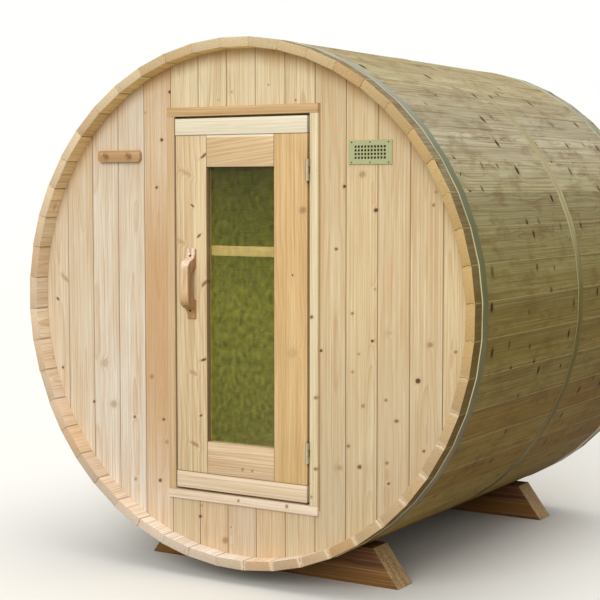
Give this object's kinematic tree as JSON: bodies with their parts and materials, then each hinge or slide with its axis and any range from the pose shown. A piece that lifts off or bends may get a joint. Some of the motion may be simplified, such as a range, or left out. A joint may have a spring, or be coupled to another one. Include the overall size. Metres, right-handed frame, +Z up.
{
  "type": "barrel sauna",
  "caption": "Round timber barrel cabin on two cradles, with a recessed board front, a glazed wooden door on hinges, a vent grille and steel bands.",
  "frame": {"origin": "on the ground under the middle of the barrel, at the centre of the footprint of the bounding box", "axes": "+Z up, the barrel's axis along Y, the door end facing -Y, +X to the right when looking at the door"},
  "size_m": [1.9212, 1.884, 1.9776],
  "materials": {
    "stave_wood": "planed softwood, lightly oiled, satin",
    "wall_wood": "planed pale softwood, satin",
    "band_steel": "stainless strap, softly polished",
    "bolt_steel": "stainless bolts and nuts",
    "cradle_wood": "planed red-brown softwood planks",
    "floor_wood": "planed softwood slats",
    "header_wood": "planed tan softwood",
    "frame_wood": "planed pale softwood",
    "batten_wood": "planed cream softwood",
    "stile_wood": "planed pale softwood",
    "golden_wood": "planed golden softwood",
    "rail_wood": "planed pale softwood",
    "handle_wood": "carved softwood, sanded smooth",
    "pane_glass": "clear toughened glass, dark and reflective by day",
    "hinge_metal": "dull steel butt hinges",
    "grille_plastic": "cream moulded plastic",
    "rail_board_wood": "planed softwood"
  },
  "bodies": {
    "hut": {"staves_right_upper": "stave_wood", "staves_top_right": "stave_wood", "staves_top_left": "stave_wood", "staves_left_upper": "stave_wood", "staves_left_lower": "stave_wood", "staves_bottom_left": "stave_wood", "staves_bottom_right": "stave_wood", "staves_right_lower": "stave_wood", "front_wall_left": "wall_wood", "front_wall_right": "wall_wood", "front_wall_over_door": "wall_wood", "front_wall_under_door": "wall_wood", "back_wall_left": "wall_wood", "back_wall_middle": "wall_wood", "back_wall_right": "wall_wood", "front_band": "band_steel", "middle_band": "band_steel", "rear_band": "band_steel", "band_bolts": "bolt_steel", "cradle_front": "cradle_wood", "cradle_rear": "cradle_wood", "floor_boards": "floor_wood", "floor_bearers": "floor_wood", "door_header": "header_wood", "door_jamb_left": "frame_wood", "door_jamb_right": "frame_wood", "door_sill": "frame_wood", "door_stops": "frame_wood", "hinges_frame_side": "hinge_metal", "vent_grille": "grille_plastic", "hook_rail": "rail_board_wood"},
    "door": {"door_top_batten": "batten_wood", "door_bottom_batten": "batten_wood", "door_stile_left": "stile_wood", "door_stile_right": "golden_wood", "door_top_rail": "rail_wood", "door_bottom_rail": "rail_wood", "door_inner_bar": "rail_wood", "door_handle": "handle_wood", "door_glass": "pane_glass", "hinges_door_side": "hinge_metal"}
  },
  "joints": [
    {"name": "door_hinge", "type": "hinge", "parent": "hut", "child": "door", "pos_m": [0.2905, -0.894, 1], "axis": [0, 0, 1], "range_deg": [0, 110]}
  ]
}
